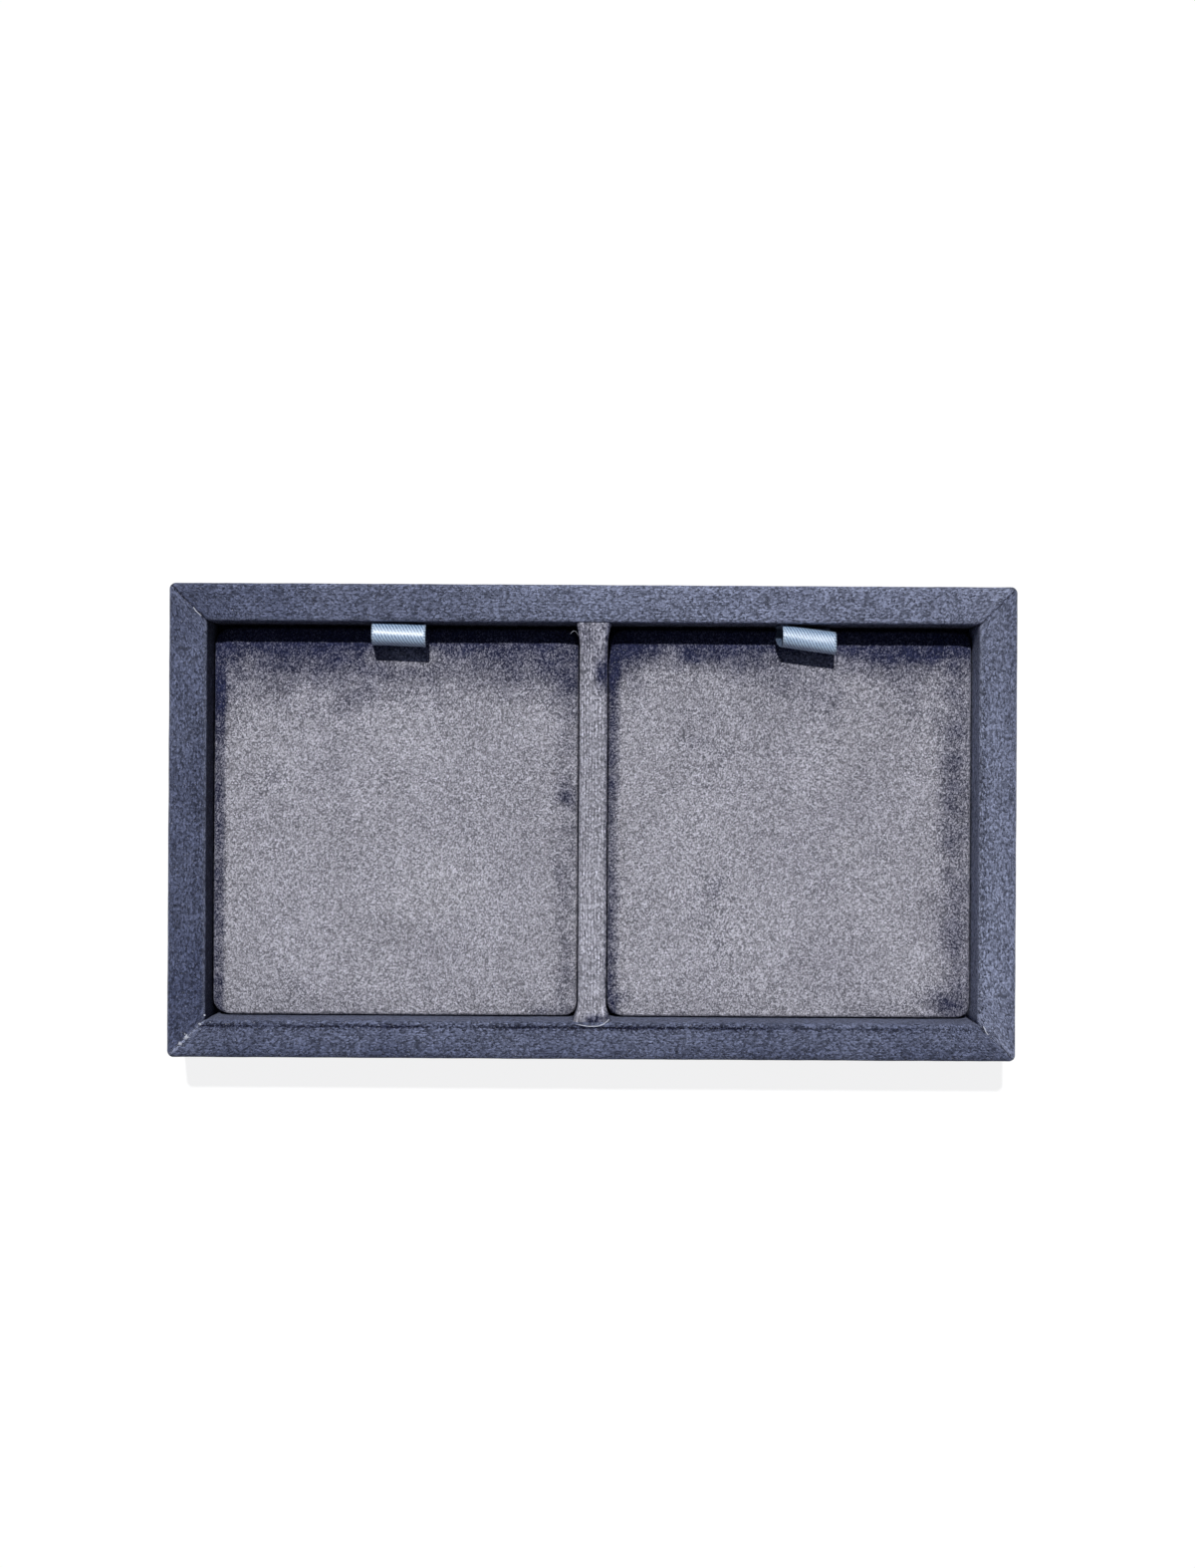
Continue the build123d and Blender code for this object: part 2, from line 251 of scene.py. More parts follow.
def velvet(name, dark_end, light_end, stroked, rib_share, grain_share, tuft_stretch):
    """Short-pile microfibre velvet on a knitted ground.

    The pile is matt, and lies one way or the other, so that a stroke of a finger leaves a darker
    and bluer patch. The same darker and bluer paint is also painted shade in creases, low on walls,
    down the sides of the pads and the divider, on the pads' front edges and under the rear rail. The
    lighter end of the ground is painted light on the rims' bends and walls over the wells and in the
    ribbons' shadows. Its tufts are some 0.3 mm wide on the real cloth, and are drawn at 0.4 mm, so
    that they show. The rows of the ground show through as broken ribs, 0.8 mm apart.
    """
    rib_pitch, rib_wander, tuft, lint, pile = 0.0008, 0.0025, 0.0004, 0.0004, 0.00025
    patch, small_patch = 0.018, 0.004
    material, tree, output = new_material(name)
    place = object_place(tree)
    weave = attribute(tree, "weave", "Vector")
    nap_and_shade = attribute(tree, "nap_and_shade")
    shade = attribute(tree, "shade")

    lying = add_node(tree, "ShaderNodeMapping", None,
                     {"Vector": weave, "Scale": (1 / tuft_stretch, 1, 1)}).outputs[0]
    fluff = noise_value(tree, lying, tuft, detail=3.0, roughness=0.8)
    frayed = add_node(tree, "ShaderNodeVectorMath", {"operation": "ADD"},
                      {0: lying, 1: tone(tree, fluff, tuft * 1.5)}).outputs[0]
    tufts = add_node(tree, "ShaderNodeTexVoronoi", None, {"Vector": frayed, "Scale": 1 / tuft})
    tufts = add_node(tree, "ShaderNodeSeparateColor", None, {0: tufts.outputs["Color"]}).outputs[0]
    tufts = plus(tree, times(tree, tufts, 0.6),
                      spread(tree, fluff, 0.3, 0.7, 0.0, 0.4))
    patches = noise_value(tree, place, patch, detail=3.0, roughness=0.55, distortion=0.6)
    small_patches = noise_value(tree, place, small_patch)

    wander = spread(tree, noise_value(tree, lying, rib_wander), 0.3, 0.7, -1.6, 1.6)
    ribs = waves(tree, coordinate(tree, weave, "Y"), rib_pitch, wander)
    ribs = times(tree, ribs, spread(tree, small_patches, 0.4, 0.62, 0.25, 1.0))

    # The shade value mixes the two tones of the ground; on the rims' bends and walls and in the ribbons'
    # shadows on the pads it is painted light
    ground = mix_colours(tree, shade, colour(dark_end), colour(light_end))
    # The nap value's darker, bluer paint is the pile lying over, and also painted shade in creases, low on
    # walls, down the sides of pads and divider and under the rear rail
    broken = plus(tree, nap_and_shade, spread(tree, small_patches, 0.3, 0.7, -0.1, 0.1))
    broken = plus(tree, broken, spread(tree, tufts, 0.1, 0.9, 0.26, -0.26))
    stroke = spread(tree, broken, 0.1, 0.95, 0.0, 1.0)
    paint = mix_colours(tree, stroke, ground, colour(stroked))
    paint = tone(tree, paint, spread(tree, patches, 0.3, 0.7, 0.92, 1.08))
    speckle = math_node(tree, "POWER", tufts, 2.0)
    paint = tone(tree, paint, spread(tree, speckle, 0.0, 1.0,
                                     1 - grain_share, 1 + 2.45 * grain_share))
    paint = tone(tree, paint, spread(tree, ribs, -1.0, 1.0, 1 - rib_share, 1 + rib_share))
    sparks = noise_value(tree, place, lint, detail=1.0)
    paint = mix_colours(tree, spread(tree, sparks, 0.68, 0.8, 0.0, 0.55), paint, colour("#d2d2dc"))

    height = plus(tree, fluff, times(tree, ribs, rib_share))
    finish_shader(tree, output, paint, height, pile, {
        "Roughness": 0.95, "Specular IOR Level": 0.15,
        "Sheen Weight": 0.12, "Sheen Roughness": 0.45, "Sheen Tint": colour("#b9c0dc"),
    })
    return material


def satin(name):
    """Light blue polyester satin ribbon.

    Its long floats lie slantwise, and shine in a broad band where the loop turns over. The slant
    lines are 0.5 mm apart on the real ribbon, and are drawn at 0.8 mm. The woven edges are
    serrated, light and dark by turns. The inside of the loop is painted dark navy, as painted shade
    under its crest.
    """
    slant, line_pitch, edge_pitch, float_width = math.radians(60), 0.0008, 0.0008, 0.0004
    edge_start, edge_end, relief = 0.0066, 0.0071, 0.00007
    material, tree, output = new_material(name)
    weave = attribute(tree, "weave", "Vector")
    turned = add_node(tree, "ShaderNodeMapping", None,
                      {"Vector": weave, "Rotation": (0, 0, slant)}).outputs[0]
    lines = waves(tree, coordinate(tree, turned, "Y"), line_pitch)
    floats = noise_value(tree, weave, float_width, detail=2.0, roughness=0.7)
    woven = plus(tree, spread(tree, lines, -1.0, 1.0, -0.26, 0.26), floats)
    paint = mix_colours(tree, spread(tree, woven, 0.25, 0.75, 0.0, 1.0),
                        colour("#385074"), colour("#aec8e0"))

    from_middle = math_node(tree, "ABSOLUTE", coordinate(tree, weave, "X"))
    edge = spread(tree, from_middle, edge_start, edge_end, 0.0, 1.0)
    teeth = spread(tree, waves(tree, coordinate(tree, weave, "Y"), edge_pitch), -0.4, 0.4, 0.0, 1.0)
    serrated = mix_colours(tree, teeth, colour("#3a4b6c"), colour("#c3d6e8"))
    paint = mix_colours(tree, times(tree, edge, 0.6), paint, serrated)
    # Painted shade on the inside of the loop, under its crest
    painted_inside_shade = times(tree, attribute(tree, "inside"), 0.8)
    paint = mix_colours(tree, painted_inside_shade, paint, colour("#222c46"))
    finish_shader(tree, output, paint, woven, relief, {
        "Roughness": 0.42, "Specular IOR Level": 1.0, "Coat Weight": 1.0, "Coat Roughness": 0.42,
    })
    return material


def mottled(name, dark, light, size, depth, values, grain=(), contrast=(0.0, 1.0), clouds=None):
    """A surface in two tones, whose grain also raises it.

    The grain is noise's detail, roughness and distortion. Clouds are a size and two ends of tone.
    """
    material, tree, output = new_material(name)
    place = object_place(tree)
    specks = noise_value(tree, place, size, *grain)
    paint = mix_colours(tree, spread(tree, specks, *contrast, 0.0, 1.0), colour(dark), colour(light))
    if clouds:
        cloud_size, low, high = clouds
        drift = noise_value(tree, place, cloud_size)
        paint = tone(tree, paint, spread(tree, drift, 0.3, 0.7, low, high))
    finish_shader(tree, output, paint, specks, depth, values)
    return material


def fibre_board(name, dark, light, fibre, depth):
    """Pressed fibre, as MDF, greyboard or card: matt, with short fibres in two tones."""
    return mottled(name, dark, light, fibre, depth, {"Roughness": 0.85, "Specular IOR Level": 0.3},
                   grain=(4.0, 0.7, 1.5), contrast=(0.35, 0.65), clouds=(fibre * 20, 0.94, 1.06))


def felt(name, dark, light):
    """Pressed felt: short matted fibres, matt and a little fluffy."""
    values = {"Roughness": 0.95, "Specular IOR Level": 0.1,
              "Sheen Weight": 0.3, "Sheen Roughness": 0.5}
    return mottled(name, dark, light, 0.0012, 0.0003, values,
                   grain=(5.0, 0.75, 2.5), contrast=(0.35, 0.65), clouds=(0.012, 0.9, 1.1))


def bright_wire(name, dark, light):
    """Bright steel wire, drawn, with fine scratches along it."""
    return mottled(name, dark, light, 0.0004, 0.00002, {"Roughness": 0.32, "Metallic": 1.0},
                   grain=(3.0, 0.7))


def raw_fibre(name, dark, light):
    """Loose backing threads of the cloth, pale and matt."""
    return mottled(name, dark, light, 0.0003, 0.00005,
                   {"Roughness": 0.8, "Specular IOR Level": 0.3, "Sheen Weight": 0.3})


# Mesh tools

def set_weave(bm, value_of):
    """Stores each vertex's place in the cloth, as a vector attribute."""
    layer = bm.verts.layers.float_vector.get("weave") or bm.verts.layers.float_vector.new("weave")
    for vert in bm.verts:
        vert[layer] = value_of(vert)


def set_value(bm, name, value_of):
    """Stores a value on each vertex."""
    layer = bm.verts.layers.float.get(name) or bm.verts.layers.float.new(name)
    for vert in bm.verts:
        vert[layer] = value_of(vert)


def grow_run(bm, end, step, rows):
    """Adds a straight run of edges from a vertex, and returns its new end."""
    for _ in range(rows):
        end = bmesh.ops.extrude_vert_indiv(bm, verts=[end])["verts"][0]
        end.co += Vector(step) / rows
    return end


def grow_bend(bm, end, centre, rows, axis=(0, 1, 0), angle=-math.pi / 2):
    """Adds a bend of edges from a vertex about a centre, and returns its new end."""
    turned = bmesh.ops.spin(bm, geom=[end], cent=centre, axis=axis, dvec=(0, 0, 0), angle=angle,
                            steps=rows, use_merge=False, use_normal_flip=False, use_duplicate=False)
    return [item for item in turned["geom_last"] if isinstance(item, bmesh.types.BMVert)][0]


def measure_chain(bm):
    """Stores how far each vertex of a chain of edges is from its start, and returns the length."""
    bm.verts.ensure_lookup_table()
    layer = bm.verts.layers.float_vector.new("weave")
    distance = 0.0
    for before, vert in zip([None, *bm.verts[:-1]], bm.verts[:]):
        distance += (vert.co - before.co).length if before else 0.0
        vert[layer] = (0, distance, 0)
    return bm.verts[-1][layer].y


def widen_chain(bm, direction, rows, middle=(0, 0, 0)):
    """Draws a chain of edges out into a strip with a number of rows, evenly about a middle."""
    bmesh.ops.translate(bm, verts=bm.verts[:], vec=Vector(middle) - Vector(direction) / 2)
    grown = bmesh.ops.extrude_edge_only(bm, edges=bm.edges[:])["geom"]
    fresh = {item for item in grown if isinstance(item, bmesh.types.BMVert)}
    bmesh.ops.translate(bm, verts=list(fresh), vec=direction)
    ties = [edge for edge in bm.edges if len(fresh.intersection(edge.verts)) == 1]
    bmesh.ops.subdivide_edges(bm, edges=ties, cuts=rows - 1, use_grid_fill=True)


def face_outwards(bm, probe, outward):
    """Turns a sheet's faces so that the one nearest to the probe faces outward."""
    bmesh.ops.recalc_face_normals(bm, faces=bm.faces[:])
    nearest = min(bm.faces, key=lambda face: (face.calc_center_median() - Vector(probe)).length)
    if nearest.normal.dot(Vector(outward)) < 0:
        bmesh.ops.reverse_faces(bm, faces=bm.faces[:])
    bm.normal_update()


def give_thickness(bm, thickness):
    """Thickens a sheet inwards, and returns its outer vertices."""
    outer = bm.verts[:]
    bmesh.ops.solidify(bm, geom=bm.faces[:], thickness=thickness)
    bmesh.ops.recalc_face_normals(bm, faces=bm.faces[:])
    return outer


def thick_cloth(bm, sink_of):
    """Thickens a sheet of cloth inwards, with its outside sunk by a depth that varies over it."""
    sinks = {vert: vert.normal * sink_of(vert) for vert in bm.verts}
    for vert in give_thickness(bm, cloth):
        vert.co -= sinks[vert]


def push_out(bm, depth_of):
    """Moves each vertex out along its normal by a depth that varies over the mesh."""
    for vert, normal in [(vert, vert.normal.copy()) for vert in bm.verts]:
        vert.co += normal * depth_of(vert)


def flat_sheet(columns, rows, length, depth, middle=(0, 0, 0)):
    """A level mesh with a number of faces each way."""
    bm = bmesh.new()
    bmesh.ops.create_grid(bm, x_segments=columns, y_segments=rows, size=0.5)
    bmesh.ops.scale(bm, vec=(length, depth, 1), verts=bm.verts[:])
    bmesh.ops.translate(bm, vec=middle, verts=bm.verts[:])
    return bm


def round_plan(x, y, half_x, half_y, corner, inset=0.0):
    """Where a point of a square-cornered ring goes on the rounded ring at an inset."""
    core_x = min(max(x, corner - half_x), half_x - corner)
    core_y = min(max(y, corner - half_y), half_y - corner)
    reach = math.hypot(x - core_x, y - core_y)
    if reach < 1e-9:
        return x, y
    share = (corner - inset) / reach
    return core_x + (x - core_x) * share, core_y + (y - core_y) * share


def put_in_scene(thing):
    """Links an object to the scene, and returns it."""
    bpy.context.scene.collection.objects.link(thing)
    return thing


def make_piece(name, bm, material):
    """Makes a finished object of a mesh, with smooth faces."""
    mesh = bpy.data.meshes.new(name)
    bm.to_mesh(mesh)
    bm.free()
    for polygon in mesh.polygons:
        polygon.use_smooth = True
    mesh.materials.append(material)
    return put_in_scene(bpy.data.objects.new(name, mesh))


# Rims

# Each rail: the middle of its outer face, the way in, and its length
rails = {
    "front": (Vector((0, -tray_depth / 2, 0)), Vector((0, 1, 0)), tray_length),
    "rear": (Vector((0, tray_depth / 2, 0)), Vector((0, -1, 0)), tray_length),
    "left": (Vector((-tray_length / 2, 0, 0)), Vector((1, 0, 0)), tray_depth),
    "right": (Vector((tray_length / 2, 0, 0)), Vector((-1, 0, 0)), tray_depth),
}

# The pile on each rail: how light it is at its left or front end, its middle and its other end, how
# much painted light lifts the bend and wall over the well, how far it lies over low on that wall,
# which is also painted shade down into the gap, and how much darker it is towards the outer edge
rail_piles = {
    "front": ((0.29, 0.31, 0.31), 0.0, 0.1, 0.1),
    "rear": ((0.16, 0.52, 0.64), 1.0, 0.8, 0.0),
    "left": ((0.1, 0.16, 0.27), 0.5, 1.3, 0.0),
    "right": ((0.68, 0.6, 0.52), 0.75, 0.0, 0.1),
}

# Creases of the drawn cloth: distance in from the outer face, width, depth and darkness; the darkness is
# painted shade in the crease
rim_creases = {
    "front": [(0.009, 0.0008, 0.00016, 1.05), (0.0089, 0.0003, 0.0001, 0.3)],
    "rear": [(0.009, 0.0003, 0.0001, 0.3), (0.008, 0.0003, 0.00008, 0.2)],
    "left": [(0.008, 0.0008, 0.0001, 0.38), (0.009, 0.0003, 0.00006, 0.2)],
    "right": [(0.0099, 0.0012, 0.00004, 0.42), (0.0091, 0.0003, 0.00008, 0.2)],
}

# How dark and how pale the seam of each corner is
front_left, front_right, rear_left, rear_right = (0.0, 0.8), (0.45, 0.25), (0.75, 0.0), (0.6, 0.0)

# The seams at the two ends of each rail, its left or front end first
rail_seams = {
    "front": (front_left, front_right), "rear": (rear_left, rear_right),
    "left": (front_left, rear_left), "right": (front_right, rear_right),
}

# The seams: half widths of the dark line and the pale one, depth, and the swell beside each
seam_half, pale_seam_half, seam_depth = 0.0003, 0.00035, 0.00025
swell_place, swell_half, swell_height = 0.0013, 0.0008, 0.00008


def rim_chain(bm, inner_bend):
    """The rim cloth's line from the foot of the inner wall, over the top and under the base.

    Returns its length.
    """
    top_in = covered_rail - inner_bend
    fine_run = 0.0016
    under = turn_in_level + cloth
    end = bm.verts.new((covered_rail, 0, rail_foot))
    end = grow_run(bm, end, (0, 0, tray_height - inner_bend - rail_foot), 14)
    end = grow_bend(bm, end, (top_in, 0, tray_height - inner_bend), 8)
    end = grow_run(bm, end, (-fine_run, 0, 0), 7)
    end = grow_run(bm, end, (outer_bend + fine_run - top_in, 0, 0), 9)
    end = grow_bend(bm, end, (outer_bend, 0, tray_height - outer_bend), 7)
    end = grow_run(bm, end, (0, 0, under + outer_bend - tray_height), 14)
    end = grow_bend(bm, end, (cloth, 0, under), 4)
    grow_run(bm, end, (turn_in_reach - cloth, 0, 0), 5)
    return measure_chain(bm)


def between(values, share):
    """A value on the line through a first, a middle and a last one."""
    first, middle, last = values
    if share < 0.5:
        return first + (middle - first) * 2 * share
    return middle + (last - middle) * (2 * share - 1)


def rim_cover(side, material):
    """The velvet strip of one rail, drawn over the rim and mitred at both ends."""
    face_middle, inward, length = rails[side]
    along = Vector((0, 0, 1)).cross(inward)
    rightward = along.x + along.y
    bm = bmesh.new()
    inner_bend = inner_bends[side]
    shades, wall_painted_light, wall_nap_and_shade, outer_drop = rail_piles[side]
    chain_length = rim_chain(bm, inner_bend)
    widen_chain(bm, (0, length, 0), round(length / 0.002))
    end_rows = [edge for edge in bm.edges
                if sum(abs(abs(vert.co.y) - length / 2) < 1e-6 for vert in edge.verts) == 1]
    bmesh.ops.subdivide_edges(bm, edges=end_rows, cuts=7, use_grid_fill=True)
    face_outwards(bm, (covered_rail / 2, 0, tray_height), (0, 0, 1))
    weave = bm.verts.layers.float_vector["weave"]
    set_weave(bm, lambda vert: (vert.co.y, vert[weave].y, 0))

    ramp = 2 * covered_rail

    def to_mitre(vert):
        return (length / 2 - abs(vert.co.y)) * (1 - vert.co.x / ramp) / math.sqrt(2)

    def seam_look(vert):
        return rail_seams[side][1 if vert.co.y * rightward > 0 else 0]

    def crease_at(vert, place, width):
        if vert.co.z < tray_height - inner_bend:
            return 0.0
        fade = 0.65 + 0.5 * ripple((vert.co.y, place, 0), 0.018, 3.0)
        fade *= 1 - 0.7 * smooth_step(length / 2 - 0.04, length / 2 - 0.014, vert.co.y * rightward)
        return bell(vert.co.x - place, width) * fade

    def wall_share(vert):
        """0 on the top of the rim and 1 on the wall over the well."""
        if vert.co.x < covered_rail / 2:
            return 0.0
        return smooth_step(tray_height - 0.02 * inner_bend, tray_height - 0.6 * inner_bend, vert.co.z)

    def nap_and_shade_of(vert):
        dark = seam_look(vert)[0] * bell(to_mitre(vert), seam_half)
        # Painted shade low on the wall over the well, together with the pile lying over there
        if vert.co.x > covered_rail / 2:
            dark += wall_nap_and_shade * smooth_step(tray_height - 0.75 * inner_bend,
                                           tray_height - 1.5 * inner_bend, vert.co.z)
        # Painted shade in the creases
        for place, width, _, strength in rim_creases[side]:
            dark += strength * crease_at(vert, place, width)
        return min(dark, 1.0)

    def shade_of(vert):
        lightness = between(shades, 0.5 + vert.co.y * rightward / length)
        # Painted light on the bend and wall over the well
        lightness += wall_painted_light * wall_share(vert)
        lightness -= outer_drop * smooth_step(0.0065, 0.0015, vert.co.x)
        lightness += seam_look(vert)[1] * bell(to_mitre(vert), pale_seam_half)
        return lightness + 0.1 * ripple(vert.co, 0.03, 5.0) + 0.08 * ripple(vert.co, 0.009, 8.0)

    def sink_of(vert):
        sink = seam_depth * bell(to_mitre(vert), seam_half)
        sink -= swell_height * bell(to_mitre(vert) - swell_place, swell_half)
        sink *= smooth_step(0.0, 1.5 * outer_bend, vert.co.x)
        for place, width, depth, _ in rim_creases[side]:
            sink += depth * crease_at(vert, place, 0.8 * width)
        if vert.co.z > 2 * cloth:
            sink += 0.00006 * ripple(vert.co, 0.012, 1.0) + 0.00004 * ripple(vert.co, 0.003, 2.0)
        return sink

    set_value(bm, "nap_and_shade", nap_and_shade_of)
    set_value(bm, "shade", shade_of)
    thick_cloth(bm, sink_of)
    for vert in bm.verts:
        share = min(max((abs(vert.co.y) - length / 2 + ramp) / ramp, 0), 1)
        vert.co.y -= math.copysign(vert.co.x * share, vert.co.y)

    turn = Matrix((inward, along, Vector((0, 0, 1)))).transposed().to_4x4()
    bmesh.ops.transform(bm, matrix=Matrix.Translation(face_middle) @ turn, verts=bm.verts[:])
    half_x, half_y = tray_length / 2, tray_depth / 2
    for vert in bm.verts:
        x, y, z = vert.co
        inset = min(half_x - abs(x), half_y - abs(y))
        vert.co = (*round_plan(x, y, half_x, half_y, plan_corner, inset), z)
    piece = make_piece(f"{side}_rim_velvet", bm, material)
    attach(piece, "tray")
    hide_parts(f"{side}_rail_cover")


# Divider

def divider_cover(material):
    """The divider's velvet, which spreads where it is glued to the front and rear rails."""
    smudge_x, smudge_y = 0.002, 0.041
    front_flare_start, front_flare_run, front_flare = -0.05, 0.0055, 0.0015
    rear_flare_start, rear_flare_run, rear_flare = 0.048, 0.0075, 0.001
    bm = bmesh.new()
    rise = divider_top - divider_bend - rail_foot
    flat_half = divider_half - divider_bend
    end = bm.verts.new((divider_half, 0, rail_foot))
    end = grow_run(bm, end, (0, 0, rise), 14)
    end = grow_bend(bm, end, (flat_half, 0, divider_top - divider_bend), 7)
    end = grow_run(bm, end, (-2 * flat_half, 0, 0), 7)
    end = grow_bend(bm, end, (-flat_half, 0, divider_top - divider_bend), 7)
    grow_run(bm, end, (0, 0, -rise), 14)
    chain_length = measure_chain(bm)
    widen_chain(bm, (0, inner_depth, 0), 160)
    face_outwards(bm, (0, 0, divider_top), (0, 0, 1))
    weave = bm.verts.layers.float_vector["weave"]
    set_weave(bm, lambda vert: (vert.co.y, vert[weave].y, 0))

    def nap_and_shade_of(vert):
        # The darkening down both sides is painted shade in the gaps beside the pads
        side = smooth_step(divider_top - 0.0012, divider_top - 0.003, vert.co.z)
        smudge = 0.8 * bell(vert.co.y - smudge_y, 0.005) * bell(vert.co.x - smudge_x, 0.0016)
        end_patch = 0.9 * smooth_step(-0.0524, -0.054, vert.co.y) * bell(vert.co.x - 0.0006, 0.003)
        rear = 0.45 * smooth_step(0.03, 0.052, vert.co.y)
        # Painted shade on the right bend, which faces away from the light
        right_bend_shade = 0.42 * smooth_step(0.0026, 0.0035, vert.co.x)
        return min(0.6 * side + smudge + end_patch + rear + right_bend_shade, 1.0)

    set_value(bm, "nap_and_shade", nap_and_shade_of)
    set_value(bm, "shade", lambda vert: 0.55 - 5.0 * max(vert.co.y - 0.02, 0)
              + 0.2 * ripple(vert.co, 0.012, 4.0))
    thick_cloth(bm, lambda vert: 0.00012 * ripple(vert.co, 0.01, 7.0)
                + 0.00006 * ripple(vert.co, 0.003, 9.0))
    for vert in bm.verts:
        front = min(max((front_flare_start - vert.co.y) / front_flare_run, 0), 1)
        rear = min(max((vert.co.y - rear_flare_start) / rear_flare_run, 0), 1)
        vert.co.x *= 1 + (front_flare * front ** 2 + rear_flare * rear ** 2) / divider_half
        if vert.co.x > divider_half / 2:
            vert.co.x += 0.0003 * smooth_step(0.0145, 0.019, vert.co.z)
        if vert.co.z > divider_top - 2 * divider_bend:
            vert.co.y -= 0.0009 * smooth_step(0.7, 1.0, front)
            vert.co.z += 0.0003 * front ** 2 - 0.0007 * smooth_step(0.8, 1.0, front)
    piece = make_piece("divider_velvet", bm, material)
    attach(piece, "tray")
    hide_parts("divider_cover")


# Loose threads and lint on the seams

# Threads on the cloth: the width of each, and points along it
loose_threads = {
    "rear_left_seam_thread": (0.00026, [
        (-0.111, 0.059, 0.02405), (-0.1104, 0.058, 0.0242), (-0.1096, 0.0573, 0.02415),
        (-0.1088, 0.0566, 0.024),
    ]),
    "front_right_seam_thread": (0.00026, [
        (0.1088, -0.056, 0.02402), (0.1093, -0.0569, 0.02418), (0.1096, -0.0578, 0.0241),
        (0.1102, -0.0584, 0.02402),
    ]),
    "divider_raw_edge": (0.00026, [
        (-0.0042, -0.0561, 0.02355), (-0.0018, -0.0566, 0.02395), (0.001, -0.0567, 0.024),
        (0.0034, -0.0563, 0.0239), (0.005, -0.0548, 0.0233),
    ]),
    "divider_rear_hair": (0.0001, [
        (-0.0036, 0.051, 0.018), (-0.0044, 0.0528, 0.02), (-0.0056, 0.0536, 0.0206),
        (-0.0065, 0.0524, 0.0198),
    ]),
}

# Where lint is caught in the front left seam: its middle, its reach and how many fibres it has
lint_tufts = [((-0.1123, -0.0603, 0.024), 0.0007, 26), ((-0.114, -0.0621, 0.024), 0.0006, 20),
              ((-0.1086, -0.0566, 0.0239), 0.0004, 10), ((-0.1074, -0.0543, 0.0234), 0.0003, 8)]


def fibre_piece(name, runs, width, material):
    """Thin tubes along some runs of points, as one piece that rides on the tray."""
    curve = bpy.data.curves.new(name, "CURVE")
    curve.dimensions = "3D"
    curve.bevel_depth = width / 2
    curve.bevel_resolution = 1
    curve.resolution_u = 3
    curve.use_fill_caps = True
    for run in runs:
        spline = curve.splines.new("NURBS")
        spline.points.add(len(run) - 1)
        for point, place in zip(spline.points, run):
            point.co = (*place, 1)
        spline.order_u = 3
        spline.use_endpoint_u = True
    shaped = bpy.data.objects.new(f"{name}_line", curve)
    bm = bmesh.new()
    bm.from_mesh(bpy.data.meshes.new_from_object(shaped))
    bpy.data.objects.remove(shaped)
    bmesh.ops.remove_doubles(bm, verts=bm.verts[:], dist=1e-7)
    bmesh.ops.recalc_face_normals(bm, faces=bm.faces[:])
    piece = make_piece(name, bm, material)
    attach(piece, "tray")


def loose_fibres(material):
    """The ends of thread and the lint that show on the seams."""
    lint_width = 0.00012
    for name, (width, run) in loose_threads.items():
        fibre_piece(name, [run], width, material)
    draw = random.Random(11)
    runs = []
    for middle, reach, count in lint_tufts:
        for _ in range(count):
            run = [Vector([draw.gauss(0, reach / 2) for _ in range(3)]) for _ in range(3)]
            runs.append([Vector(middle) + Vector((step.x, step.y, abs(step.z) / 2)) for step in run])
    fibre_piece("front_left_seam_lint", runs, lint_width, material)


# Pads

# Strokes in the pile of each pad: place across the tray and along it, half sizes, turn, strength. The two
# brushed-up entries at -0.055, 0.0466 and 0.0598, 0.0458 are painted light that lifts the ribbons' shadows.
pad_strokes_and_lit_shadows = {
    "left": [
        (-0.0685, 0.0333, 0.0065, 0.0035, 0.5, 0.55), (-0.071, 0.046, 0.014, 0.005, 0.0, 0.2),
        (-0.0075, 0.0075, 0.003, 0.0035, 0.0, 0.75), (-0.0465, -0.0215, 0.013, 0.012, 0.0, -0.4),
        # The entry at -0.055, 0.0466 is painted light in the left ribbon's shadow
        (-0.055, 0.0466, 0.0095, 0.0032, 0.0, -0.6), (-0.103, 0.033, 0.005, 0.014, 0.0, 0.25),
        (-0.0095, -0.016, 0.0018, 0.005, 0.3, 0.35), (-0.014, -0.0535, 0.0025, 0.0016, 0.0, 0.7),
        (-0.0075, -0.038, 0.0012, 0.006, 0.0, 0.3), (-0.09, 0.013, 0.006, 0.004, 0.6, 0.3),
        (-0.065, -0.017, 0.0012, 0.0045, 0.4, 0.35), (-0.035, -0.002, 0.0006, 0.004, -0.5, 0.3),
        (-0.025, 0.04, 0.005, 0.004, 0.1, 0.2),
    ],
    "right": [
        (0.0295, 0.0465, 0.004, 0.002, 0.0, 0.7), (0.0655, 0.0355, 0.009, 0.005, 0.0, 0.6),
        # The entry at 0.0598, 0.0458 is painted light in the right ribbon's shadow
        (0.0598, 0.0458, 0.0095, 0.0032, 0.0, -0.4), (0.0895, 0.033, 0.006, 0.008, 0.0, 0.3),
        (0.0305, -0.008, 0.004, 0.012, 0.0, 0.15), (0.0115, 0.0385, 0.004, 0.01, 0.0, 0.35),
        (0.0875, 0.0475, 0.008, 0.0018, 0.0, 0.75), (0.0995, 0.01, 0.0035, 0.03, 0.0, 0.55),
        (0.0985, -0.05, 0.0055, 0.004, 0.0, 0.7), (0.035, -0.018, 0.0025, 0.0045, -0.5, 0.5),
        (0.0295, 0.022, 0.006, 0.003, -0.6, 0.3), (0.009, -0.05, 0.002, 0.004, -0.3, 0.6),
        (0.038, -0.036, 0.003, 0.005, 0.3, 0.25), (0.0315, -0.028, 0.008, 0.009, 0.0, 0.2),
        (0.1, -0.032, 0.005, 0.014, 0.0, 0.4), (0.071, -0.007, 0.006, 0.005, 0.0, -0.4),
        (0.082, -0.008, 0.006, 0.006, 0.0, 0.2),
    ],
}

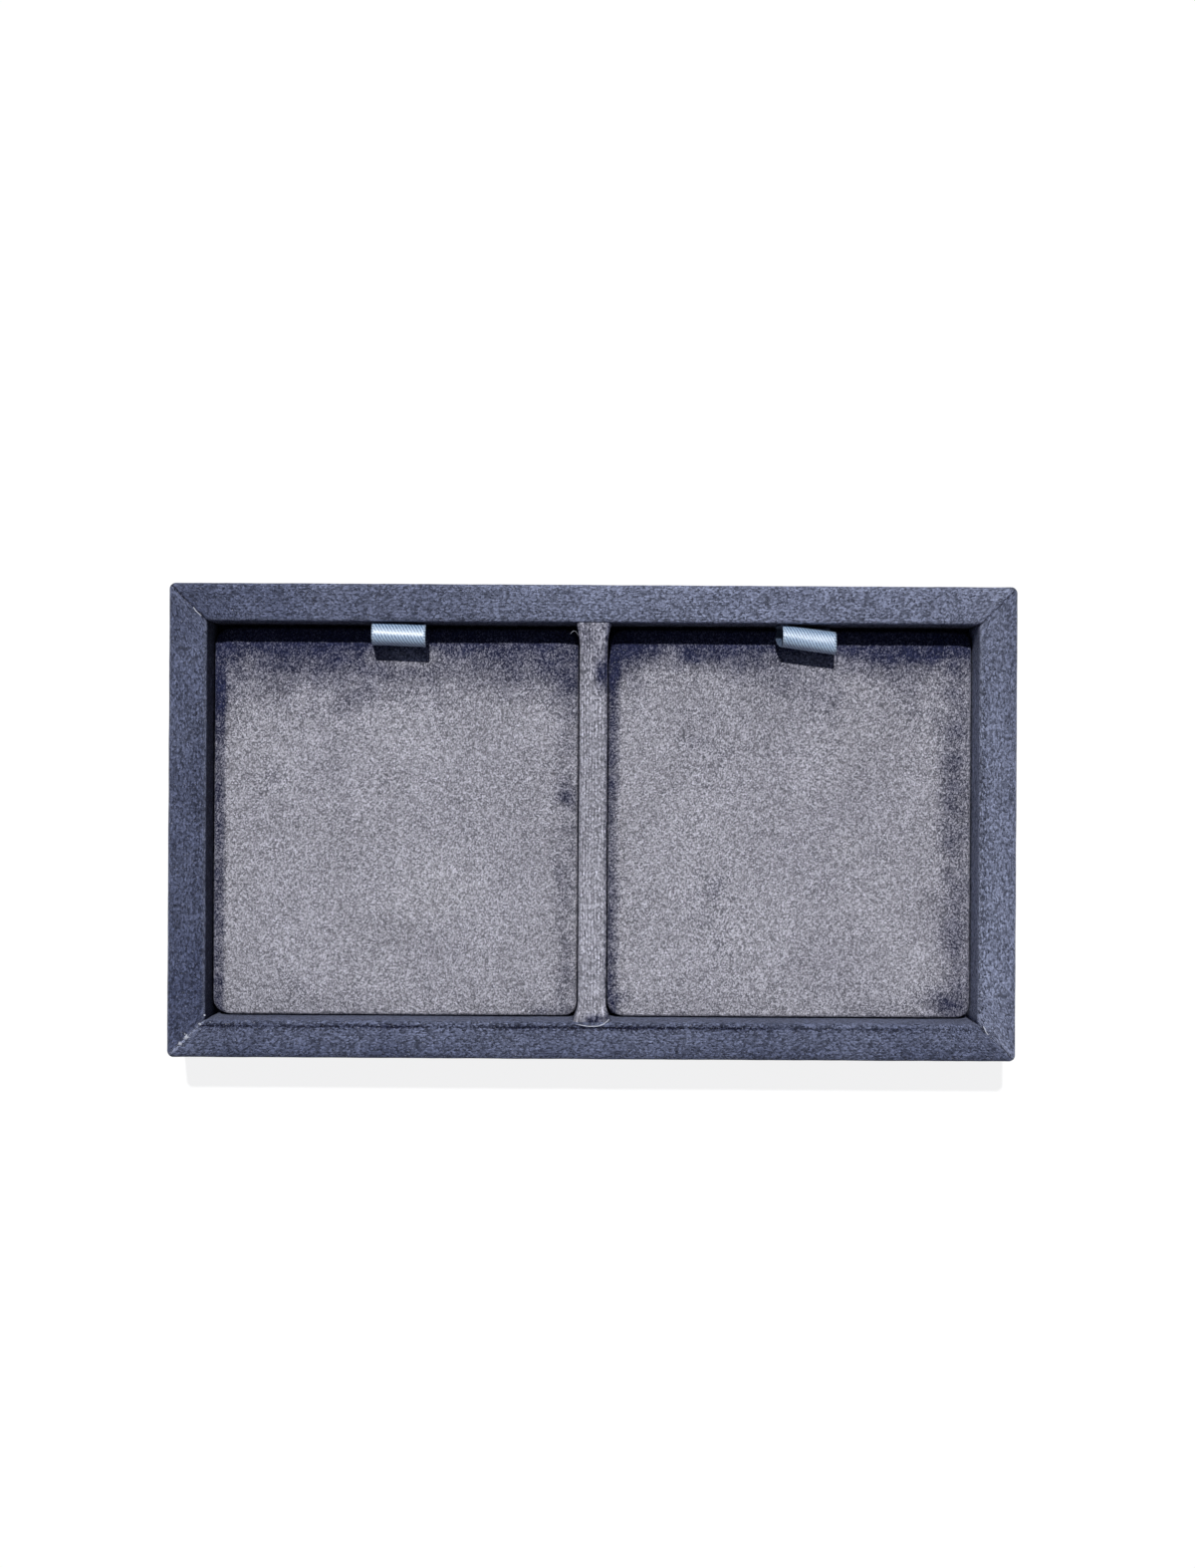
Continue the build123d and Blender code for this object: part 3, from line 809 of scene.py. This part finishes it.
# Where the pile of each pad begins to lie over towards the rear, at its left and its right end,
# and where it is all over. Its darkest part, under the rear rail, is painted shade in the rail's shadow
rear_nap_and_shade = {"left": (0.022, 0.026, 0.053), "right": (0.033, 0.035, 0.052)}

# How much darker both pads are along them: strength, where it starts, where it is all over. The first is the
# pile lying over towards the rear; the other two darken the front, the last being painted shade on the soft
# front edge beside the front rail
pad_bands = [(0.06, -0.01, 0.03), (0.1, -0.04, -0.052), (0.12, -0.053, -0.0545)]

# How far the pile lies over in the last few millimetres at each pad's right edge
right_edge_naps = {"left": 0.33, "right": 0.46}


def pad_sheet(centre_x):
    """The velvet of a pad as one open sheet: top, soft edges, sides and the part turned in."""
    half_x, half_y = pad_length / 2, pad_depth / 2
    columns, lines = 72, 76
    bm = flat_sheet(columns, lines, pad_length, pad_depth)
    for half, way in ((half_x, Vector((1, 0, 0))), (half_y, Vector((0, 1, 0)))):
        for share in (1 / 3, 2 / 3):
            for end in (-1, 1):
                place = way * end * (half - pad_soft_edge * share)
                bmesh.ops.bisect_plane(bm, geom=bm.verts[:] + bm.edges[:] + bm.faces[:],
                                       plane_co=place, plane_no=way)
    down = bm.verts.layers.float.new("down")
    inner = bm.verts.layers.float.new("inner")
    weave = bm.verts.layers.float_vector.new("weave")
    side_height = pad_edge_top - pad_foot
    wall = side_height - pad_foot_bend
    steps = [(pad_soft_edge * share, 0.0) for share in (1 / 3, 2 / 3, 1)]
    steps += [(pad_soft_edge + (wall - pad_soft_edge) * share, 0.0) for share in (1 / 3, 2 / 3, 1)]
    steps += [(side_height - 0.3 * pad_foot_bend, 0.3 * pad_foot_bend), (side_height, pad_foot_bend)]
    steps += [(side_height, pad_foot_bend + (pad_turn_in - pad_foot_bend) * share)
              for share in (0.2, 0.45, 0.7, 1.0)]
    rim = [edge for edge in bm.edges if edge.is_boundary]
    for depth, reach in steps:
        grown = bmesh.ops.extrude_edge_only(bm, edges=rim)["geom"]
        rim = [item for item in grown if isinstance(item, bmesh.types.BMEdge)]
        for item in grown:
            if isinstance(item, bmesh.types.BMVert):
                item[down], item[inner] = depth, reach
    for vert in bm.verts:
        x, y = vert.co.x, vert.co.y
        height = pad_edge_top - max(vert[down] - 0.3 * pad_soft_edge, 0)
        ease = pad_corner_eases["left" if x < 0 else "right"]
        corner = pad_corner + ease * smooth_step(pad_board_top, pad_board_top + 0.003, height)
        unfolded = vert[down] + vert[inner]
        vert[weave] = (x * (1 + unfolded / half_x) + centre_x, y * (1 + unfolded / half_y), 0)
        if vert[inner] > 0:
            x, y = round_plan(x, y, half_x, half_y, pad_corner)
            x *= 1 - vert[inner] / half_x
            y *= 1 - vert[inner] / half_y
            z = pad_edge_top - vert[down]
        else:
            edge = min(half_x - abs(x), half_y - abs(y)) - vert[down]
            angle = math.pi / 4 * (1 + min(max(edge / pad_soft_edge, -1), 1))
            inset = edge if edge > pad_soft_edge else pad_soft_edge * (1 - math.cos(angle))
            x, y = round_plan(x, y, half_x, half_y, corner, min(inset, corner))
            low = max(vert[down] - pad_soft_edge, 0)
            z = pad_edge_top - pad_soft_edge * (1 - math.sin(angle)) - low
        vert.co = (x + centre_x, y + pad_middle_y, z)
    bmesh.ops.remove_doubles(bm, verts=bm.verts[:], dist=1e-6)
    face_outwards(bm, (centre_x, pad_middle_y, pad_edge_top), (0, 0, 1))
    return bm


def swell_pad(bm):
    """Lets the foam push the velvet up, with the turned-in part and the sides' feet held."""
    scale, cap, frames = 20.0, 1.25 * pad_crown, 20
    held_below = pad_foot + 0.4 * (pad_edge_top - pad_foot)
    at_rest = [vert.co.copy() for vert in bm.verts]
    mesh = bpy.data.meshes.new("pad_trial")
    bm.to_mesh(mesh)
    mesh.transform(Matrix.Scale(scale, 4))
    trial = put_in_scene(bpy.data.objects.new("pad_trial", mesh))
    held = trial.vertex_groups.new(name="held")
    held.add([i for i, place in enumerate(at_rest) if place.z < held_below], 1.0, "REPLACE")
    cloth_modifier = trial.modifiers.new("swell", "CLOTH")
    settings = cloth_modifier.settings
    settings.vertex_group_mass = "held"
    settings.use_pressure = True
    settings.uniform_pressure_force = 4.0
    settings.tension_stiffness = settings.compression_stiffness = 40.0
    settings.shear_stiffness = 20.0
    settings.bending_stiffness = 5.0
    settings.quality = 6
    settings.effector_weights.gravity = 0.0
    scene = bpy.context.scene
    for step in range(1, frames + 1):
        scene.frame_set(step)
    swollen = trial.evaluated_get(bpy.context.evaluated_depsgraph_get()).to_mesh()
    for vert, place, grown in zip(bm.verts, at_rest, swollen.vertices):
        swell = max((grown.co / scale - place).dot(vert.normal), 0)
        limit = cap * (0.2 + 0.8 * abs(vert.normal.z))
        vert.co = place + vert.normal * (limit * (1 - math.exp(-swell / limit)))
    scene.frame_set(1)
    bpy.data.objects.remove(trial)
    bpy.data.meshes.remove(mesh)
    bm.normal_update()


def pad_foam(side, bm, material):
    """The foam under a pad's velvet, cut flat where it lies on the board."""
    foam = bm.copy()
    foam.normal_update()
    push_out(foam, lambda vert: -cloth)
    bmesh.ops.bisect_plane(foam, geom=foam.verts[:] + foam.edges[:] + foam.faces[:],
                           plane_co=(0, 0, pad_board_top), plane_no=(0, 0, -1), clear_outer=True)
    bmesh.ops.holes_fill(foam, edges=[edge for edge in foam.edges if edge.is_boundary], sides=0)
    bmesh.ops.recalc_face_normals(foam, faces=foam.faces[:])
    piece = make_piece(f"{side}_pad_cushion", foam, material)
    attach(piece, f"{side}_pad")
    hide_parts(f"{side}_pad_foam")
    return piece


def strokes_and_lit_shadows_at(side, vert):
    """How far the strokes lay the pile over at a place on a pad, below 0 where they brush it up; the two
    entries in the ribbons' shadows are painted light, below 0 too.
    """
    x, y = vert.co.x, vert.co.y
    dark = 0.0
    for place_x, place_y, half_x, half_y, turn, strength in pad_strokes_and_lit_shadows[side]:
        away_x, away_y = x - place_x, y - place_y
        turned_x = away_x * math.cos(turn) + away_y * math.sin(turn)
        turned_y = away_y * math.cos(turn) - away_x * math.sin(turn)
        warp = 1 + 0.6 * ripple((x, y, 0), 0.004, 6.0)
        reach = (turned_x / half_x) ** 2 + (turned_y / half_y) ** 2
        dark += 0.7 * strength * math.exp(-reach * warp)
    return dark


def pad_nap_shade_and_light(side, centre_x, vert):
    """How dark a place on a pad is: its strokes, its edges and its rear third where the pile lies over,
    painted shade under the rear rail, down its sides and on its front edge, and painted light in the
    ribbons' shadows.
    """
    x, y = vert.co.x, vert.co.y
    left_edge, right_edge = centre_x - pad_length / 2, centre_x + pad_length / 2
    dark = strokes_and_lit_shadows_at(side, vert)
    # The pile lying over towards the rear third, deepened into painted shade under the rear rail
    wavering = y + 0.004 * ripple((x, y, 0), 0.02, 2.0)
    left_start, right_start, end = rear_nap_and_shade[side]
    rightward = smooth_step(centre_x - 0.01, centre_x + 0.02, x)
    start = left_start + (right_start - left_start) * rightward
    dark += 0.92 * smooth_step(start, end, wavering)
    for strength, start, end in pad_bands:
        dark += strength * smooth_step(start, end, y)
    dark += 0.72 * smooth_step(left_edge + 0.0038, left_edge + 0.0023, x)
    near_right = smooth_step(right_edge - 0.01, right_edge - 0.003, x) * smooth_step(0.048, 0.034, y)
    dark += right_edge_naps[side] * near_right
    # Painted shade down the pad's sides, in the gaps beside the walls
    dark += 0.3 * smooth_step(pad_edge_top - 0.0018, pad_edge_top - 0.0035, vert.co.z)
    dark += 0.1 * ripple((x, y, 0), 0.011, 9.0)
    return min(max(dark, 0.0), 1.0)


def pad_pieces(side, velvet_material, foam_material):
    """A pad's velvet and its foam."""
    centre_x = pad_centres[side]
    half = pad_length / 2
    bm = pad_sheet(centre_x)
    swell_pad(bm)
    for vert in bm.verts:
        near_left = smooth_step(centre_x - 0.8 * half, centre_x - half, vert.co.x)
        vert.co.x -= pad_left_stretches[side] * near_left
    foam = pad_foam(side, bm, foam_material)
    set_value(bm, "nap_and_shade", lambda vert: pad_nap_shade_and_light(side, centre_x, vert))
    # Brushed-up strokes lighten the shade; in the ribbons' shadows this is painted light
    set_value(bm, "shade", lambda vert: 0.5 + 0.25 * ripple(vert.co, 0.02, 3.0)
              - 1.2 * min(strokes_and_lit_shadows_at(side, vert), 0))
    push_out(bm, lambda vert: 0.00005 * ripple(vert.co, 0.008, 5.0))
    give_thickness(bm, cloth)
    piece = make_piece(f"{side}_pad_velvet", bm, velvet_material)
    smoother = piece.modifiers.new("smooth", "SUBSURF")
    smoother.levels = smoother.render_levels = 1
    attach(piece, f"{side}_pad")
    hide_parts(f"{side}_pad_cover")


# Ribbons

def ribbon(side, material):
    """One strip of ribbon: glued under the pad, up its rear side, round in a loop and back."""
    centre_x = tab_centres[side]
    twist = tab_twists[side]
    wrap = math.pi / 2 + math.asin((loop_radius - root_radius) / loop_reach)
    fold = Vector((0, fold_y, fold_z))

    def at(angle, radius):
        return Vector((0, -math.sin(angle) * radius, math.cos(angle) * radius))

    bulge = fold + at(loop_lean, loop_reach)
    neck = fold_z - ribbon_neck
    inner_corner, outer_corner, blend_half = 0.00015, 0.00045, 0.0006
    bm = bmesh.new()

    def run_to(end, goal, rows):
        return grow_run(bm, end, Vector(goal) - end.co, rows)

    end = bm.verts.new((0, ribbon_glued_end, ribbon_upper_layer))
    end = run_to(end, (0, ribbon_inner_layer - inner_corner, ribbon_upper_layer), 8)
    end = grow_bend(bm, end, (0, end.co.y, end.co.z + inner_corner), 3, (1, 0, 0), math.pi / 2)
    end = run_to(end, (0, ribbon_inner_layer, neck), 7)
    end = run_to(end, fold + at(loop_lean + wrap, root_radius), 2)
    end = run_to(end, bulge + at(loop_lean + wrap, loop_radius), 8)
    end = grow_bend(bm, end, bulge, 28, (1, 0, 0), -2 * wrap)
    end = run_to(end, fold + at(loop_lean - wrap, root_radius), 8)
    end = run_to(end, (0, ribbon_outer_layer, neck), 2)
    end = run_to(end, (0, ribbon_outer_layer, ribbon_lower_layer + outer_corner), 7)
    end = grow_bend(bm, end, (0, end.co.y - outer_corner, end.co.z), 4, (1, 0, 0))
    run_to(end, (0, ribbon_glued_end, ribbon_lower_layer), 8)
    strip_length = measure_chain(bm)
    widen_chain(bm, (ribbon_width, 0, 0), 24, (centre_x, 0, 0))
    weave = bm.verts.layers.float_vector["weave"]
    set_weave(bm, lambda vert: (vert.co.x - centre_x, vert[weave].y, 0))
    low_shift, crest_shift = loop_shifts[side]
    loop_height = loop_reach + loop_radius

    def squared(away):
        """Flattens the crest, as the ribbon's stiff edges do."""
        middle = at(loop_lean, loop_reach)
        spoke = away - middle
        turn = Vector((0, math.sin(crest_tilt), math.cos(crest_tilt))).angle(spoke)
        powers = abs(math.cos(turn)) ** crest_power + abs(math.sin(turn)) ** crest_power
        upper = smooth_step(math.radians(112), math.radians(88), turn)
        return middle + spoke * (1 + (powers ** (-1 / crest_power) - 1) * upper)

    def edge_wave(vert):
        """How far the edges of the loop wave out."""
        if vert.co.z < fold_z + 0.001:
            return 0.0
        edge = abs(vert.co.x - centre_x) / (ribbon_width / 2)
        return 0.00012 * ripple(vert.co, 0.004, 3.0) * edge ** 2

    for vert in bm.verts:
        if vert.co.z > fold_z:
            share = (vert.co.x - centre_x) / ribbon_width + 0.5
            height = vert.co.z - fold_z
            away = vert.co - fold
            away.x = 0
            turned = Matrix.Rotation(twist * share, 3, "X") @ squared(away)
            turned.y -= crest_skews[side] * share * smooth_step(0, loop_height, height)
            shift = crest_shift * smooth_step(0.3, 0.8, height / loop_height)
            shift += low_shift * math.sin(math.pi * min(height / (0.6 * loop_height), 1))
            vert.co = Vector((vert.co.x + shift, fold_y, fold_z)) + turned
    face_outwards(bm, (centre_x, fold_y, tray_height), (0, 0, 1))
    push_out(bm, edge_wave)
    # The inside of the loop carries painted shade in the satin
    set_value(bm, "inside", lambda vert: 1.0)
    outer = give_thickness(bm, ribbon_thickness)
    for vert in outer:
        vert[bm.verts.layers.float["inside"]] = 0.0
    piece = make_piece(f"{side}_ribbon", bm, material)
    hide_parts(f"{side}_tab_tail", f"{side}_tab_loop")
    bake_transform(piece, f"{side}_pad", f"{side}_tab",
             start=(centre_x, fold_y, fold_z - blend_half),
             end=(centre_x, fold_y, fold_z + blend_half))


# Linings

def floor_lining(side, material):
    """The velvet on the floor of a well, with its edges tucked into the pile of the walls."""
    centre_x = pad_centres[side]
    length, depth = well_length + 2 * lining_tuck, inner_depth + 2 * lining_tuck
    bm = flat_sheet(52, 56, length, depth, (centre_x, 0, floor_high))
    face_outwards(bm, (centre_x, 0, floor_high), (0, 0, 1))
    set_value(bm, "nap_and_shade", lambda vert: 0.3 + 0.3 * ripple(vert.co, 0.02, 1.0))
    set_value(bm, "shade", lambda vert: 0.5 + 0.3 * ripple(vert.co, 0.015, 2.0))
    set_weave(bm, lambda vert: (vert.co.x, vert.co.y, 0))
    outer = give_thickness(bm, floor_high - floor_low)
    for vert in outer:
        vert.co.z -= 0.00003 * (1 + ripple(vert.co, 0.006, 4.0))
    piece = make_piece(f"{side}_floor_velvet", bm, material)
    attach(piece, "tray")
    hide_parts(f"{side}_floor_lining")


def underside(material):
    """The felt under the tray, which dips where the turned-in velvet ends."""
    bm = flat_sheet(116, 64, felt_length, felt_depth)
    step_end = felt_step_inset + felt_step_width
    for vert in bm.verts:
        inset = min(felt_length / 2 - abs(vert.co.x), felt_depth / 2 - abs(vert.co.y))
        vert.co.z = felt_thickness * smooth_step(felt_step_inset, step_end, inset)
    face_outwards(bm, (0, 0, felt_thickness), (0, 0, -1))
    give_thickness(bm, felt_thickness)
    piece = make_piece("underside_felt", bm, material)
    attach(piece, "tray")
    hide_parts("bottom_cover")


# The scene

# Where the camera hung, worked out from the photograph
camera_place = (0.00138, 0.0106, 0.584)
camera_turn = math.radians(0.33)
camera_lens = 46.35

# The key lamp: how high it stands, how far to the left of the rear, its strength and its width
key_height, key_swing = math.radians(62.5), math.radians(5)
key_strength, key_width = 3.3, math.radians(1.8)


def dress_carcass():
    """Gives the boards, cards and brads inside the tray their finishes."""
    finishes = {
        "frame_mdf": fibre_board("sanded MDF", "#a3825f", "#c3a27c", 0.0006, 0.00005),
        "pad_greyboard": fibre_board("greyboard", "#8d8a83", "#aba79f", 0.0008, 0.00006),
        "backing_card": fibre_board("matt black card", "#26272b", "#3b3c42", 0.0005, 0.00003),
        "brad_steel": bright_wire("bright steel wire", "#9a9ba0", "#c9cacd"),
    }
    for entry in frame["record"]["subparts"]:
        finish = finishes.get(entry["material_slot"])
        if finish:
            materials = frame["nodes"][entry["node"]].data.materials
            materials.clear()
            materials.append(finish)


def seen_straight(tree):
    """1 where a ray sees the thing itself, and 0 where it only gathers its light."""
    rays = add_node(tree, "ShaderNodeLightPath").outputs
    seen = math_node(tree, "MAXIMUM", rays["Is Camera Ray"], rays["Is Glossy Ray"])
    return math_node(tree, "MAXIMUM", seen, rays["Is Transmission Ray"])


def show_mixed(tree, output, share, first, second):
    """Mixes two shaders by a share, and shows them."""
    both = add_node(tree, "ShaderNodeMixShader", None,
                    {0: share, 1: first.outputs[0], 2: second.outputs[0]})
    tree.links.new(both.outputs[0], output.inputs["Surface"])


def floor_and_world():
    """A pale floor that looks white to the camera and keeps a soft shadow."""
    width, below = 6.0, 0.00005
    bm = flat_sheet(8, 8, width, width, (0, 0, -below))
    material, tree, output = new_material("white studio paper")
    glowing = times(tree, seen_straight(tree), 0.8)
    diffuse = add_node(tree, "ShaderNodeBsdfDiffuse", None, {"Color": colour("#e4e4e4")})
    glow = add_node(tree, "ShaderNodeEmission", None, {"Color": (1, 1, 1, 1), "Strength": 1.08})
    show_mixed(tree, output, glowing, diffuse, glow)
    make_piece("floor", bm, material)

    world = bpy.data.worlds.new("studio")
    bpy.context.scene.world = world
    world.use_nodes = True
    tree = world.node_tree
    tree.nodes.clear()
    white = add_node(tree, "ShaderNodeBackground", None, {"Color": (1, 1, 1, 1), "Strength": 1.0})
    fill = add_node(tree, "ShaderNodeBackground", None,
                    {"Color": colour("#b4c0f4"), "Strength": 0.115})
    output = add_node(tree, "ShaderNodeOutputWorld")
    show_mixed(tree, output, seen_straight(tree), fill, white)


def key_lamp():
    """A key lamp from the rear, high and a little to the left."""
    key = bpy.data.lights.new("key", "SUN")
    key.energy = key_strength
    key.angle = key_width
    lamp = put_in_scene(bpy.data.objects.new("key", key))
    level = math.cos(key_height)
    towards = Vector((-math.sin(key_swing) * level, math.cos(key_swing) * level, math.sin(key_height)))
    lamp.rotation_euler = towards.to_track_quat("Z", "Y").to_euler()


def camera():
    """Straight above the tray, a little to the rear of its middle, as the photograph was taken."""
    data = bpy.data.cameras.new("camera")
    data.sensor_fit = "AUTO"
    data.sensor_width = 36.0
    data.lens = camera_lens
    data.clip_start, data.clip_end = 0.01, 20.0
    seat = put_in_scene(bpy.data.objects.new("camera", data))
    seat.location = camera_place
    seat.rotation_euler = (0, 0, camera_turn)
    bpy.context.scene.camera = seat


rim_velvet = velvet("navy grey velvet", "#383e56", "#868ca1", "#0d1026", 0.12, 0.72, 1.5)
pad_velvet = velvet("stroked grey velvet", "#8e8d97", "#adacb3", "#222745", 0.05, 0.64, 0.8)
divider_velvet = velvet("ribbed grey velvet", "#8d8d97", "#acabb4", "#282c48", 0.36, 0.6, 1.3)
lining_velvet = velvet("lining velvet", "#2f3349", "#50556c", "#151a33", 0.1, 0.5, 1.0)
blue_satin = satin("light blue satin")
foam = fibre_board("open cell foam", "#d8d5c8", "#f0ede0", 0.0007, 0.0002)
backing_thread = raw_fibre("pale backing thread", "#a9aebf", "#dfe2ea")

camera()
floor_and_world()
key_lamp()
dress_carcass()
for side in rails:
    rim_cover(side, rim_velvet)
divider_cover(divider_velvet)
loose_fibres(backing_thread)
for side in pad_centres:
    pad_pieces(side, pad_velvet, foam)
    ribbon(side, blue_satin)
    floor_lining(side, lining_velvet)
underside(felt("navy pressed felt", "#2b2e3c", "#474b5d"))

bpy.context.scene.view_settings.view_transform = "Standard"
